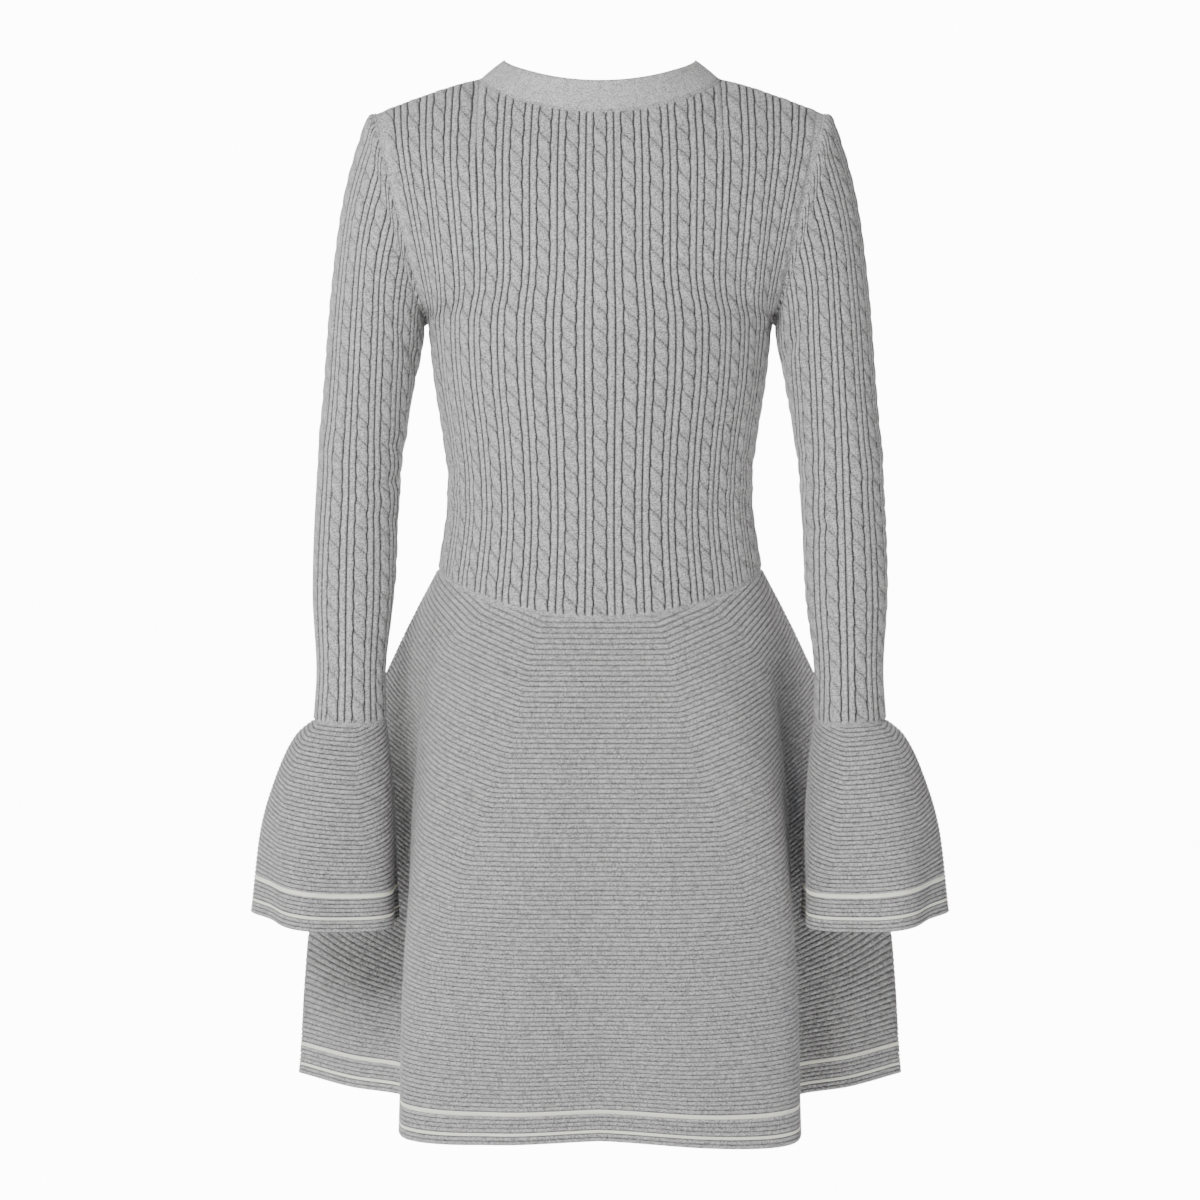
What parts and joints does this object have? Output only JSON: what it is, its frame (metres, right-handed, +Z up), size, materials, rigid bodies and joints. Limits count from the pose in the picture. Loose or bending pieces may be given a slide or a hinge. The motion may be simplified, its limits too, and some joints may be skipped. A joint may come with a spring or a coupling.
{
  "type": "sweater dress",
  "caption": "Light grey knitted dress, hollow as worn: rib-and-cable bodice and long sleeves, flared rippled skirt, bell cuffs, cream stripes at the hems and a plain neck band.",
  "frame": {"origin": "midway between the two points where the shoulder seams meet the neckline, where the wearer's shoulders hold the dress up", "axes": "+Z up, the back faces -Y and the front faces +Y, +X to the wearer's right"},
  "size_m": [0.5514, 0.3258, 0.8468],
  "materials": {
    "rib_knit": "matt heather grey rib and cable knit",
    "ripple_knit": "matt heather grey ripple knit with cream stripes",
    "band_knit": "matt heather grey plain knit"
  },
  "bodies": {
    "root": {"bodice_back": "rib_knit", "bodice_front": "rib_knit", "sleeve_left": "rib_knit", "sleeve_right": "rib_knit", "cuff_left": "ripple_knit", "cuff_right": "ripple_knit", "skirt_back": "ripple_knit", "skirt_front": "ripple_knit", "neck_band": "band_knit"}
  },
  "joints": []
}
